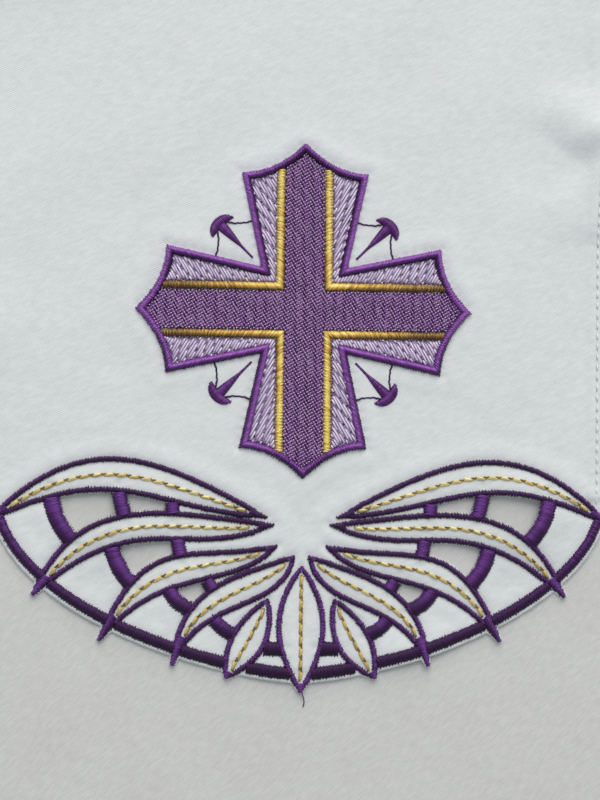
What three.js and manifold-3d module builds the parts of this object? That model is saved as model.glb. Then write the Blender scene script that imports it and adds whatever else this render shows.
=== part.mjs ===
// A small white altar cloth, lying flat: a centred cross with four nails worked in purple and gold thread,
// hemmed sides and top, and a lower end of cutwork leaves joined by satin-stitched bars and an edge band.
// Millimetres. +X is to the cloth's right, +Y towards its top hem and +Z out of its face.
// The origin is under the middle of the cross, on the surface that the cloth lies on.
import * as THREE from "three";
import { mergeVertices } from "three/addons/utils/BufferGeometryUtils.js";
import Module from "manifold-3d";

const wasm = await Module();
wasm.setup();

// The cloth
const HALF_WIDTH = 91.5;
const TOP_EDGE = 110.4;
const SIDE_END = -60.5;
const CLOTH_THICK = 1.2;
const HEM = { left: 3.0, right: 7.4, top: 7.4 };
const HEM_RISE = 0.6;
const HEM_STEP = 0.5;
const HEM_END = -53.5;
const CELL = 8.0;
const SLAB_OVERHANG = 2.5;

// The stitching
const GAP = 0.3;
const SATIN_HALF = 0.8;
const SATIN_RISE = 0.65;
const TIP_SHARE = 0.35;
const TIP_RAMP = 0.12;
const BAND_HALF = { start: 1.2, end: 1.85 };
const CLOTH_MARGIN = 0.5;
const FILL_RISE = 0.4;
const BORDER_RISE = 0.75;
const CURVE_STEPS = 12;
const BAND_STEPS = 18;
const BAR_STEPS = 5;
const ROOM_STEPS = 200;
const SMALLEST_PIECE = 1;

// The cross, one arm along +Y: its tip, its end corners and the inner corner between two arms
const ARM_TIP = 48.9;
const ARM_CORNER = { across: 18.5, along: 40.0 };
const ARM_NOTCH = 12.6;
const ARM_END_BEND = { across: 8.6, along: 40.1 };
const BORDER_WIDTH = 2.2;
const GOLD_CENTRE = 6.95;
const GOLD_HALF = 1.1;
const ARM_END_STEPS = 6;

// A nail on each diagonal, measured out from the middle of the cross along that diagonal
const NAIL = { point: 21.5, shankTop: 32.4, brim: 34.0, crown: 36.8 };
const NAIL_HALF = { point: 0.3, waist: 0.65, shank: 1.4, brim: 4.1 };
const NAIL_WAIST = 26.5;
const CROWN_STEPS = 6;

// Leaves on the right half. Both edges run from the inner tip to the outer tip as one cubic each,
// with the pair of handle points given; upper is the edge on the left hand on that way.
const LEAVES = [
  {
    inner: [10, -60], outer: [90, -61.5],
    upper: [[41, -43.5], [62, -32.5]],
    lower: [[45, -57.5], [53, -43]],
  },
  {
    inner: [8, -62], outer: [77, -82.5],
    upper: [[35, -60], [63.5, -50]],
    lower: [[34.5, -73.5], [46.5, -55]],
  },
  {
    inner: [7, -68], outer: [58, -95.5],
    upper: [[30.5, -74], [45, -62]],
    lower: [[20.5, -82], [39.5, -72.5]],
  },
  {
    inner: [2, -71], outer: [37, -102.5],
    upper: [[19, -77.5], [35, -79]],
    lower: [[6.5, -88.5], [28.5, -81.5]],
  },
  {
    inner: [9.5, -83.5], outer: [21.5, -106],
    upper: [[18, -89.5], [22.5, -95.5]],
    lower: [[8, -95], [11, -101]],
  },
];
const CENTRE_LEAF = {
  inner: [0, -74], outer: [0, -110],
  upper: [[9, -87], [8, -96.5]],
  lower: [[-9, -87], [-8, -96.5]],
};

// The edge band's middle line on the right half, then the bars between the leaves: each one's start,
// bend, end and half width
const EDGE_BAND = { start: [86.5, -61], bendA: [78, -87.5], bendB: [25.5, -104], end: [0, -105] };
const BARS = {
  rib_1: { start: [72.5, -51], bend: [72, -62], end: [65, -68], half: 2.3 },
  bar_1a: { start: [53, -50.5], bend: [52.5, -56], end: [50.5, -61.5], half: 1.95 },
  bar_1b: { start: [37.5, -52], bend: [37.5, -56.5], end: [37, -61], half: 1.95 },
  rib_2: { start: [55, -66], bend: [54, -76], end: [47, -81], half: 2.25 },
  bar_2a: { start: [36, -64], bend: [35.5, -68.5], end: [34.5, -73], half: 1.9 },
  rib_3: { start: [39, -78.5], bend: [37, -86], end: [30, -87], half: 2.1 },
  bar_3a: { start: [28.5, -76], bend: [26.5, -79], end: [25, -82], half: 1.9 },
  rib_4: { start: [26, -87.5], bend: [23.5, -93], end: [18, -94], half: 2.1 },
  bar_5: { start: [11.5, -97.5], bend: [8, -98], end: [4.5, -97.5], half: 2.1 },
};

// Each opening lies between two bars and two leaves, numbered from the top
const OPENINGS = [
  { outerBar: "rib_1", innerBar: "bar_1a", leaves: [0, 1] },
  { outerBar: "bar_1a", innerBar: "bar_1b", leaves: [0, 1] },
  { outerBar: "rib_2", innerBar: "bar_2a", leaves: [1, 2] },
  { outerBar: "rib_3", innerBar: "bar_3a", leaves: [2, 3] },
];
const OPENING_MARGIN = 0.1;

// Where the cloth stands off the surface in soft swells: middle, reach each way and height
const SWELLS = [
  { x: -91, y: 112, reachX: 62, reachY: 46, height: 3.0 },
  { x: 92, y: 42, reachX: 34, reachY: 38, height: 2.4 },
  { x: 22, y: 114, reachX: 44, reachY: 24, height: 1.6 },
  { x: -94, y: -6, reachX: 28, reachY: 34, height: 1.5 },
  { x: 66, y: -60, reachX: 40, reachY: 26, height: 1.7 },
  { x: -58, y: -62, reachX: 36, reachY: 24, height: 1.2 },
  { x: 34, y: -100, reachX: 26, reachY: 18, height: 0.9 },
];
const REST_UNDER = 0.25;

const COLOURS = { cloth: 0xe4e8e8, purple: 0x5b2a86, fill: 0x74479a, wedge: 0xb59fcb, gold: 0xc9a33a };

const group = new THREE.Group();

function material(colour) {
  return new THREE.MeshStandardMaterial({ color: colour, roughness: 0.7, metalness: 0 });
}

// How far the swells lift the cloth
function lift(x, y) {
  let height = 0;
  for (const swell of SWELLS) {
    const reach = Math.min(1, Math.hypot((x - swell.x) / swell.reachX, (y - swell.y) / swell.reachY));
    height += swell.height * (0.5 + 0.5 * Math.cos(Math.PI * reach)) ** 2;
  }
  return height;
}

// The underside lies flat on the surface wherever a swell would lift it by less than REST_UNDER
function underside(x, y) {
  const height = lift(x, y);
  return height < REST_UNDER ? 0 : height;
}

function inHem(x, y) {
  const atSide = (x <= -HALF_WIDTH + HEM.left || x >= HALF_WIDTH - HEM.right) && y >= HEM_END;
  return atSide || y >= TOP_EDGE - HEM.top;
}

function clothTop(x, y) {
  return lift(x, y) + CLOTH_THICK + (inHem(x, y) ? HEM_RISE : 0);
}

// Solids to and from manifold-3d, which only joins and cuts them
function solidOf(geometry) {
  const bare = geometry.index ? geometry.toNonIndexed() : geometry.clone();
  for (const name of Object.keys(bare.attributes)) {
    if (name !== "position") bare.deleteAttribute(name);
  }
  const merged = mergeVertices(bare, 1e-4);
  return new wasm.Manifold(
    new wasm.Mesh({
      numProp: 3,
      vertProperties: merged.attributes.position.array,
      triVerts: new Uint32Array(merged.index.array),
    }),
  );
}

function geometryOf(solid) {
  const mesh = solid.getMesh();
  const geometry = new THREE.BufferGeometry();
  geometry.setAttribute("position", new THREE.BufferAttribute(new Float32Array(mesh.vertProperties), 3));
  geometry.setIndex(new THREE.BufferAttribute(new Uint32Array(mesh.triVerts), 1));
  return geometry;
}

// A straight prism on an outline of [x, y] points
function prism(points, bottom, top) {
  const shape = new THREE.Shape(points.map(([x, y]) => new THREE.Vector2(x, y)));
  const geometry = new THREE.ExtrudeGeometry(shape, { depth: top - bottom, bevelEnabled: false });
  return solidOf(geometry.translate(0, 0, bottom));
}

const CUT_DEPTH = 20;
const FAR = 60;
const cutter = (points) => prism(points, -CUT_DEPTH, CUT_DEPTH);
const mirrored = (points) => points.map(([x, y]) => [-x, y]);
const onSide = (points, side) => (side === "left" ? mirrored(points) : points);

// Puts flat stitching on the cloth's face, GAP above it, and adds it to the group
function addStitching(name, solid, colour) {
  const geometry = geometryOf(solid);
  const place = geometry.attributes.position;
  for (let i = 0; i < place.count; i += 1) {
    const x = place.getX(i);
    const y = place.getY(i);
    place.setZ(i, place.getZ(i) + lift(x, y) + CLOTH_THICK + GAP);
  }
  const mesh = new THREE.Mesh(geometry, material(colour));
  mesh.name = name;
  group.add(mesh);
}

// Points of a curve pushed to its left by the distance that away(t) gives
function beside(curve, steps, away, from = 0, to = 1) {
  const points = [];
  for (let i = 0; i <= steps; i += 1) {
    const t = from + ((to - from) * i) / steps;
    const at = curve.getPoint(t);
    const along = curve.getTangent(t);
    points.push([at.x - along.y * away(t), at.y + along.x * away(t)]);
  }
  return points;
}

const vector = (point) => new THREE.Vector2(...point);
const cubic = (a, b, c, d) => new THREE.CubicBezierCurve(vector(a), vector(b), vector(c), vector(d));
const quadratic = (a, b, c) => new THREE.QuadraticBezierCurve(vector(a), vector(b), vector(c));

function leafEdges(leaf) {
  return {
    upper: cubic(leaf.inner, ...leaf.upper, leaf.outer),
    lower: cubic(leaf.inner, ...leaf.lower, leaf.outer),
  };
}

// Satin narrows towards both tips of a leaf
function tipWidth(t) {
  const ramp = Math.min(1, Math.min(t, 1 - t) / TIP_RAMP);
  return TIP_SHARE + (1 - TIP_SHARE) * ramp;
}

// The outside of a leaf's satin, widened by a margin
function leafOutline(leaf, margin = 0) {
  const { upper, lower } = leafEdges(leaf);
  const away = (t) => SATIN_HALF * tipWidth(t) + margin;
  const top = beside(upper, CURVE_STEPS, away);
  const bottom = beside(lower, CURVE_STEPS, (t) => -away(t));
  return [...top, ...bottom.reverse()];
}

// The bare cloth inside a leaf, which ends where its two satin lines meet
function leafInside(leaf) {
  const { upper, lower } = leafEdges(leaf);
  const room = (t) => upper.getPoint(t).distanceTo(lower.getPoint(t));
  const open = [];
  for (let i = 0; i <= ROOM_STEPS; i += 1) {
    if (room(i / ROOM_STEPS) > 2 * SATIN_HALF + GAP) open.push(i / ROOM_STEPS);
  }
  const from = open[0];
  const to = open[open.length - 1];
  const top = beside(upper, CURVE_STEPS, () => -SATIN_HALF, from, to);
  const bottom = beside(lower, CURVE_STEPS, () => SATIN_HALF, from, to);
  return [...top, ...bottom.reverse()];
}

// A ribbon on a middle line, with half its width given along it
function ribbon(curve, steps, half) {
  const left = beside(curve, steps, half);
  const right = beside(curve, steps, (t) => -half(t));
  return [...left, ...right.reverse()];
}

const bandHalf = (t) => BAND_HALF.start + (BAND_HALF.end - BAND_HALF.start) * t;

const bandLine = cubic(EDGE_BAND.start, EDGE_BAND.bendA, EDGE_BAND.bendB, EDGE_BAND.end);
const barLine = (bar) => quadratic(bar.start, bar.bend, bar.end);

const SIDES = ["left", "right"];
const leafCopies = [{ leaf: CENTRE_LEAF, above: [], side: "right", name: "leaf_centre" }];
LEAVES.forEach((leaf, i) => {
  const above = LEAVES.slice(0, i);
  for (const side of SIDES) leafCopies.push({ leaf, above, side, name: `leaf_${i + 1}_${side}` });
});

function allLeaves(margin) {
  let joined = null;
  for (const { leaf, side } of leafCopies) {
    const one = cutter(onSide(leafOutline(leaf, margin), side));
    joined = joined ? joined.add(one) : one;
  }
  return joined;
}

// The uncut sheet: a grid of points on the swells, closer at the hem's step
function slab() {
  const fill = (from, to) => {
    const count = Math.round((to - from) / CELL);
    return Array.from({ length: count + 1 }, (_, i) => from + ((to - from) * i) / count);
  };
  const side = HALF_WIDTH + SLAB_OVERHANG;
  const leftHem = -HALF_WIDTH + HEM.left;
  const rightHem = HALF_WIDTH - HEM.right;
  const topHem = TOP_EDGE - HEM.top;
  const xs = [-side, leftHem, ...fill(leftHem + HEM_STEP, rightHem - HEM_STEP), rightHem, side];
  const ys = [
    ...fill(-TOP_EDGE - SLAB_OVERHANG, HEM_END - HEM_STEP),
    ...fill(HEM_END, topHem - HEM_STEP),
    topHem,
    TOP_EDGE + SLAB_OVERHANG,
  ];
  const columns = xs.length;
  const count = columns * ys.length;
  const vertices = [];
  for (const raise of [underside, clothTop]) {
    for (const y of ys) for (const x of xs) vertices.push(x, y, raise(x, y));
  }
  const faces = [];
  const quad = (a, b, c, d) => faces.push(a, b, c, a, c, d);
  for (let j = 0; j < ys.length - 1; j += 1) {
    for (let i = 0; i < columns - 1; i += 1) {
      const a = j * columns + i;
      quad(a, a + columns, a + columns + 1, a + 1);
      quad(count + a, count + a + 1, count + a + columns + 1, count + a + columns);
    }
  }
  for (let i = 0; i < columns - 1; i += 1) {
    const far = (ys.length - 1) * columns + i;
    quad(i, i + 1, count + i + 1, count + i);
    quad(far + 1, far, count + far, count + far + 1);
  }
  for (let j = 0; j < ys.length - 1; j += 1) {
    const near = j * columns;
    const far = near + columns - 1;
    quad(near + columns, near, count + near, count + near + columns);
    quad(far, far + columns, count + far + columns, count + far);
  }
  const geometry = new THREE.BufferGeometry();
  geometry.setAttribute("position", new THREE.BufferAttribute(new Float32Array(vertices), 3));
  geometry.setIndex(faces);
  return solidOf(geometry);
}

// The cloth's own outline, before its leaf tips and openings
function clothOutline() {
  const edge = beside(bandLine, BAND_STEPS, (t) => bandHalf(t) + CLOTH_MARGIN);
  const rightEdge = edge.map(([x, y]) => [Math.max(0, Math.min(HALF_WIDTH, x)), y]);
  const right = [[HALF_WIDTH, TOP_EDGE], [HALF_WIDTH, SIDE_END], ...rightEdge];
  const left = mirrored(right).reverse();
  return [...right, ...left.slice(1)];
}

function openingCut(opening) {
  const outer = BARS[opening.outerBar];
  const inner = BARS[opening.innerBar];
  const outerSide = beside(barLine(outer), BAR_STEPS, () => -outer.half - OPENING_MARGIN);
  const innerSide = beside(barLine(inner), BAR_STEPS, () => inner.half + OPENING_MARGIN);
  return [...outerSide, ...innerSide.reverse()];
}

function addCloth() {
  let plan = cutter(clothOutline()).add(allLeaves(CLOTH_MARGIN));
  for (const opening of OPENINGS) {
    for (const side of SIDES) {
      let hole = cutter(onSide(openingCut(opening), side));
      for (const index of opening.leaves) {
        hole = hole.subtract(cutter(onSide(leafOutline(LEAVES[index], OPENING_MARGIN), side)));
      }
      plan = plan.subtract(hole);
    }
  }
  const mesh = new THREE.Mesh(geometryOf(slab().intersect(plan)), material(COLOURS.cloth));
  mesh.name = "cloth";
  group.add(mesh);
}

function addLeaves() {
  for (const { leaf, above, side, name } of leafCopies) {
    let ring = prism(onSide(leafOutline(leaf), side), 0, SATIN_RISE);
    ring = ring.subtract(cutter(onSide(leafInside(leaf), side)));
    for (const other of above) ring = ring.subtract(cutter(onSide(leafOutline(other, GAP), side)));
    addStitching(name, ring, COLOURS.purple);
  }
}

function addBars(leavesInTheWay) {
  for (const [name, bar] of Object.entries(BARS)) {
    for (const side of SIDES) {
      const plan = onSide(ribbon(barLine(bar), BAR_STEPS, () => bar.half), side);
      const solid = prism(plan, 0, SATIN_RISE).subtract(leavesInTheWay);
      addStitching(`${name}_${side}`, largest(solid), COLOURS.purple);
    }
  }
}

function largest(solid) {
  return solid.decompose().reduce((a, b) => (a.volume() > b.volume() ? a : b));
}

function addEdgeBand(leavesInTheWay) {
  for (const side of SIDES) {
    const plan = onSide(ribbon(bandLine, BAND_STEPS, bandHalf), side);
    const pieces = prism(plan, 0, SATIN_RISE).subtract(leavesInTheWay).decompose();
    const middle = (piece) => Math.abs(piece.boundingBox().min[0] + piece.boundingBox().max[0]);
    const real = pieces.filter((piece) => piece.volume() > SMALLEST_PIECE);
    real.sort((a, b) => middle(b) - middle(a));
    real.forEach((piece, i) => addStitching(`edge_band_${i + 1}_${side}`, piece, COLOURS.purple));
  }
}

// Outline of the cross, drawn inwards by a distance
function armEnd(inset) {
  const corner = vector([ARM_CORNER.across, ARM_CORNER.along]);
  const bend = vector([ARM_END_BEND.across, ARM_END_BEND.along]);
  const curve = new THREE.QuadraticBezierCurve(corner, bend, vector([0, ARM_TIP]));
  return beside(curve, ARM_END_STEPS, () => inset);
}

function meet(a, b, c, d) {
  const cross = (p, q) => p[0] * q[1] - p[1] * q[0];
  const r = [b[0] - a[0], b[1] - a[1]];
  const s = [d[0] - c[0], d[1] - c[1]];
  const t = cross([c[0] - a[0], c[1] - a[1]], s) / cross(r, s);
  return [a[0] + r[0] * t, a[1] + r[1] * t];
}

function crossOutline(inset) {
  const end = armEnd(inset);
  const sideLength = Math.hypot(ARM_CORNER.across - ARM_NOTCH, ARM_CORNER.along - ARM_NOTCH);
  const sideIn = [-(ARM_CORNER.along - ARM_NOTCH) / sideLength, (ARM_CORNER.across - ARM_NOTCH) / sideLength];
  const sideFrom = [ARM_NOTCH + sideIn[0] * inset, ARM_NOTCH + sideIn[1] * inset];
  const sideTo = [ARM_CORNER.across + sideIn[0] * inset, ARM_CORNER.along + sideIn[1] * inset];
  const notch = meet(sideFrom, sideTo, [0, 0], [1, 1]);
  const corner = meet(sideFrom, sideTo, end[0], end[1]);
  const last = end.length - 1;
  const tip = meet(end[last - 1], end[last], [0, 0], [0, 1]);
  const half = [corner, ...end.slice(1, last)];
  const arm = [notch, ...half, tip, ...mirrored(half).reverse()];
  const points = [];
  for (let quarter = 0; quarter < 4; quarter += 1) {
    const turn = (quarter * Math.PI) / 2;
    const c = Math.round(Math.cos(turn));
    const s = Math.round(Math.sin(turn));
    for (const [x, y] of arm) points.push([x * c - y * s, x * s + y * c]);
  }
  return points;
}

// Quarter names by the signs of x and y
const QUARTERS = [
  { name: "upper_right", x: 1, y: 1 },
  { name: "upper_left", x: -1, y: 1 },
  { name: "lower_left", x: -1, y: -1 },
  { name: "lower_right", x: 1, y: -1 },
];
const inQuarter = (points, quarter) => points.map(([x, y]) => [x * quarter.x, y * quarter.y]);

// A square out from a corner on a quarter's diagonal, and an L between two such corners
const square = (near) => [[near, near], [FAR, near], [FAR, FAR], [near, FAR]];

function cornerStrip(near, far, reach) {
  return [[near, near], [reach, near], [reach, far], [far, far], [far, reach], [near, reach]];
}

function addCross() {
  const border = prism(crossOutline(0), 0, BORDER_RISE).subtract(cutter(crossOutline(BORDER_WIDTH)));
  addStitching("cross_border", border, COLOURS.purple);
  const inside = prism(crossOutline(BORDER_WIDTH + GAP), 0, FILL_RISE);
  const goldIn = GOLD_CENTRE - GOLD_HALF;
  const goldOut = GOLD_CENTRE + GOLD_HALF;
  let centre = inside;
  for (const quarter of QUARTERS) {
    centre = centre.subtract(cutter(inQuarter(square(goldIn - GAP), quarter)));
  }
  addStitching("cross_centre_fill", centre, COLOURS.fill);
  for (const quarter of QUARTERS) {
    const wedge = inside.intersect(cutter(inQuarter(square(goldOut + GAP), quarter)));
    addStitching(`wedge_fill_${quarter.name}`, wedge, COLOURS.wedge);
    const gold = prism(inQuarter(cornerStrip(goldIn, goldOut, FAR), quarter), 0, BORDER_RISE);
    const cut = gold.intersect(cutter(crossOutline(BORDER_WIDTH + GAP)));
    addStitching(`gold_line_${quarter.name}`, cut, COLOURS.gold);
  }
}

// A nail's outline on the +X axis, point towards the middle of the cross
function nailOutline() {
  const upper = [
    [NAIL.point, NAIL_HALF.point],
    [NAIL_WAIST, NAIL_HALF.waist],
    [NAIL.shankTop, NAIL_HALF.shank],
    [NAIL.brim, NAIL_HALF.brim],
  ];
  const crown = [];
  for (let i = 1; i < CROWN_STEPS; i += 1) {
    const turn = (Math.PI * i) / CROWN_STEPS;
    crown.push([NAIL.brim + (NAIL.crown - NAIL.brim) * Math.sin(turn), NAIL_HALF.brim * Math.cos(turn)]);
  }
  const lower = upper.map(([x, y]) => [x, -y]).reverse();
  return [...upper, ...crown, ...lower];
}

function addNails() {
  for (const quarter of QUARTERS) {
    const onDiagonal = nailOutline().map(([x, y]) => [(x - y) * Math.SQRT1_2, (x + y) * Math.SQRT1_2]);
    const nail = prism(inQuarter(onDiagonal, quarter), 0, SATIN_RISE);
    addStitching(`nail_${quarter.name}`, nail, COLOURS.purple);
  }
}

const leavesInTheWay = allLeaves(GAP);
addCloth();
addLeaves();
addBars(leavesInTheWay);
addEdgeBand(leavesInTheWay);
addCross();
addNails();

export default group;
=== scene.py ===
import math

import bpy
import numpy as np
from mathutils import Matrix, Vector, geometry, kdtree


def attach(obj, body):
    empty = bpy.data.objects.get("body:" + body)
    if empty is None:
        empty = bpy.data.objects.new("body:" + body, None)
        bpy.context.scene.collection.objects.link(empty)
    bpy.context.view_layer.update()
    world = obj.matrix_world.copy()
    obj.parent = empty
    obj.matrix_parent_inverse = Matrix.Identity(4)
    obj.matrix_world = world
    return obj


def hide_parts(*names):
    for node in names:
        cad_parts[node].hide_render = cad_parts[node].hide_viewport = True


# A white altar cloth with an embroidered cross and a cutwork end, seen from nearly straight above.
# Sizes here are in millimetres, in the part's own frame, and become metres when a mesh is made.
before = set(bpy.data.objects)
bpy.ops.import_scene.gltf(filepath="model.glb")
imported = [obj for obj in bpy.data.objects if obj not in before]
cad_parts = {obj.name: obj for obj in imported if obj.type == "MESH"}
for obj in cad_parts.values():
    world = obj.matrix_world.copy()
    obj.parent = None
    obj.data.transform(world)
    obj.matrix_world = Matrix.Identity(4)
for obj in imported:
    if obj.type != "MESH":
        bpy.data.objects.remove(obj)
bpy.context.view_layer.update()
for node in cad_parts.values():
    node.select_set(False)
mm = 0.001
chance = np.random.default_rng(41)

# The picture: its scale, the point under its middle, the camera's height over it, how far the camera leans to the
# left and down from straight above, and how far it is turned
picture = {"mmPerPixel": 0.29, "pixelsTall": 800, "middle": (-0.85, -25.9), "height": 520,
           "leanLeft": 4.1, "leanDown": 1.6, "turn": 0.7}


def addObject(name, data):
    thing = bpy.data.objects.new(name, data)
    bpy.context.scene.collection.objects.link(thing)
    return thing


def makeCamera():
    lens = bpy.data.cameras.new("camera")
    lens.lens = lens.sensor_width * picture["height"] / (picture["mmPerPixel"] * picture["pixelsTall"])
    camera = addObject("camera", lens)
    x, y = picture["middle"]
    left, down = (math.tan(math.radians(picture[lean])) for lean in ("leanLeft", "leanDown"))
    back = Vector((-left, -down, 1)).normalized()
    turn = math.radians(picture["turn"])
    right = Vector((math.cos(turn), math.sin(turn), 0))
    right = (right - back * right.dot(back)).normalized()
    camera.location = Vector((x, y, 0)) * mm + back * picture["height"] * mm
    camera.rotation_euler = Matrix((right, back.cross(right), back)).transposed().to_euler()
    bpy.context.scene.camera = camera


makeCamera()

# The cloth: its edges, its thickness, its hems, how finely it is meshed and how its folds and hollows are shaped
cloth = {
    "halfWidth": 91.5,
    "top": 110.4,
    "thick": 1.0,
    "hem": {"left": 3.0, "right": 7.4, "top": 7.4},
    "hemRise": 0.5,
    "hemStep": 0.6,
    "hemEnd": -53.5,
    "hemEndStep": 1.0,
    "spacing": 1.5,
    "fineSpacing": 0.75,
    "fineReach": 2.2,
    "foldHeight": 0.07,
    "foldWave": 70,
    "easing": 6,
    "hollow": 0.3,
    "rim": 0.4,
    "rimFrom": 3.0,
    "rimFull": 2.2,
}

# Soft swells that lift the cloth off the surface, as in the part's source
swells = [
    {"x": -91, "y": 112, "reachX": 62, "reachY": 46, "height": 3.0},
    {"x": 92, "y": 42, "reachX": 34, "reachY": 38, "height": 2.4},
    {"x": 22, "y": 114, "reachX": 44, "reachY": 24, "height": 1.6},
    {"x": -94, "y": -6, "reachX": 28, "reachY": 34, "height": 1.5},
    {"x": 66, "y": -60, "reachX": 40, "reachY": 26, "height": 1.7},
    {"x": -58, "y": -62, "reachX": 36, "reachY": 24, "height": 1.2},
    {"x": 34, "y": -100, "reachX": 26, "reachY": 18, "height": 0.9},
]


def lift(x, y):
    height = np.zeros(np.shape(x))
    for swell in swells:
        away = np.hypot((x - swell["x"]) / swell["reachX"], (y - swell["y"]) / swell["reachY"])
        height += swell["height"] * (0.5 + 0.5 * np.cos(np.pi * np.minimum(1, away))) ** 2
    return height


def smoothStep(value, low, high):
    share = np.clip((value - low) / (high - low), 0, 1)
    return share * share * (3 - 2 * share)


def hemShare(x, y):
    def past(value, start, step):
        return smoothStep(value, start - step, start)

    left = past(-x, cloth["halfWidth"] - cloth["hem"]["left"], cloth["hemStep"])
    right = past(x, cloth["halfWidth"] - cloth["hem"]["right"], cloth["hemStep"])
    top = past(y, cloth["top"] - cloth["hem"]["top"], cloth["hemStep"])
    side = np.maximum(left, right) * past(y, cloth["hemEnd"], cloth["hemEndStep"])
    return np.maximum(side, top)


# Broad soft folds of the face, which the sewing follows too
folds = [{"angle": chance.uniform(0, 2 * np.pi), "wave": chance.uniform(18, cloth["foldWave"]),
          "phase": chance.uniform(0, 2 * np.pi)} for _ in range(16)]

# Short ripples in a few places: middle, reach, the way that they run, wave and height
ripples = [
    {"x": 81, "y": 50, "reach": 15, "angle": 72, "wave": 42, "height": 2.2},
    {"x": 84, "y": 50, "reach": 12, "angle": 112, "wave": 13, "height": 0.25},
    {"x": 90, "y": 24, "reach": 12, "angle": 100, "wave": 12, "height": 0.14},
    {"x": 0, "y": -58, "reach": 13, "angle": 60, "wave": 11, "height": 0.07},
    {"x": -44, "y": 38, "reach": 16, "angle": 130, "wave": 12, "height": 0.06},
    {"x": 50, "y": -28, "reach": 16, "angle": 50, "wave": 13, "height": 0.07},
    {"x": -60, "y": -24, "reach": 18, "angle": 75, "wave": 14, "height": 0.06},
]


def softFolds(x, y):
    height = np.zeros(np.shape(x))
    for fold in folds:
        along = x * math.cos(fold["angle"]) + y * math.sin(fold["angle"])
        wave = np.sin(along * 2 * np.pi / fold["wave"] + fold["phase"])
        height += cloth["foldHeight"] * wave * fold["wave"] / cloth["foldWave"]
    for ripple in ripples:
        dx, dy, angle = x - ripple["x"], y - ripple["y"], math.radians(ripple["angle"])
        near = np.exp(-(dx ** 2 + dy ** 2) / ripple["reach"] ** 2)
        along = dx * math.cos(angle) + dy * math.sin(angle)
        height += ripple["height"] * near * np.sin(along * 2 * np.pi / ripple["wave"])
    return height


# How far the cloth stands off the surface, with the hollows of its folds eased so that it stays over it
def ground(x, y):
    height = lift(x, y) + softFolds(x, y) + cloth["hollow"]
    return np.logaddexp(0, cloth["easing"] * height) / cloth["easing"] - cloth["hollow"]


def faceHeight(x, y):
    return ground(x, y) + cloth["thick"] + cloth["hemRise"] * hemShare(x, y)


# Curves, as evenly read points with their directions
def bezier(handles, count=600):
    t = np.linspace(0, 1, count)[:, None]
    points = [np.array(handle, float) for handle in handles]
    if len(points) == 3:
        a, b, c = points
        return (1 - t) ** 2 * a + 2 * (1 - t) * t * b + t * t * c
    a, b, c, d = points
    return (1 - t) ** 3 * a + 3 * (1 - t) ** 2 * t * b + 3 * (1 - t) * t * t * c + t ** 3 * d


def lengths(line):
    return np.concatenate([[0], np.cumsum(np.hypot(*np.diff(line, axis=0).T))])


def leftOf(line):
    along = np.gradient(line, axis=0)
    along /= np.hypot(along[:, 0], along[:, 1])[:, None]
    return np.stack([-along[:, 1], along[:, 0]], axis=1)


def readAt(line, values, places):
    return np.stack([np.interp(places, values, line[:, k]) for k in range(line.shape[1])], axis=1)


def mirrored(points):
    return points * np.array([-1, 1])


# Meshes from arrays of points and four-sided faces
def addPiece(name, points, quads, tone=None):
    mesh = bpy.data.meshes.new(name)
    mesh.vertices.add(len(points))
    mesh.vertices.foreach_set("co", (np.asarray(points) * mm).ravel())
    mesh.loops.add(len(quads) * 4)
    mesh.loops.foreach_set("vertex_index", np.asarray(quads).ravel())
    mesh.polygons.add(len(quads))
    mesh.polygons.foreach_set("loop_start", np.arange(0, 4 * len(quads), 4))
    mesh.polygons.foreach_set("use_smooth", np.ones(len(quads), bool))
    if tone is not None:
        shade = mesh.attributes.new("tone", "FLOAT", "POINT")
        shade.data.foreach_set("value", np.asarray(tone, np.float32))
    mesh.update(calc_edges=True)
    mesh.validate()
    piece = addObject(name, mesh)
    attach(piece, "root")
    return piece


# Sewn threads: each goes from one point to another in an arch over the cloth, and both ends sink into it.
# Its tone runs from dark ends, painted shade where they sink into the cloth, to a paler crown, a painted highlight.
# A thread that runs along Y keeps only a set share of it, painted shade where its sheen turns away from the light.
# Shine moves the crown towards +Y, where the light comes from, and makes that end paler than the other: painted
# highlight.
# In satin every second thread is shifted by the comb, and its ends are ragged and a little astray.
sewing = {"sink": 0.3, "rings": 7, "sides": 6, "squareness": 2.0, "fullness": 0.75, "endWidth": 0.62,
          "shadedEnd": 0.4, "endShade": 0.15, "crownShift": 0.6, "comb": 0.1, "ragged": 0.085, "stray": 0.02,
          "uneven": 0.05, "over": 0.57, "spread": 0.22, "shine": 0.6, "fullSpan": 1.6, "leastHigh": 0.45}


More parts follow.
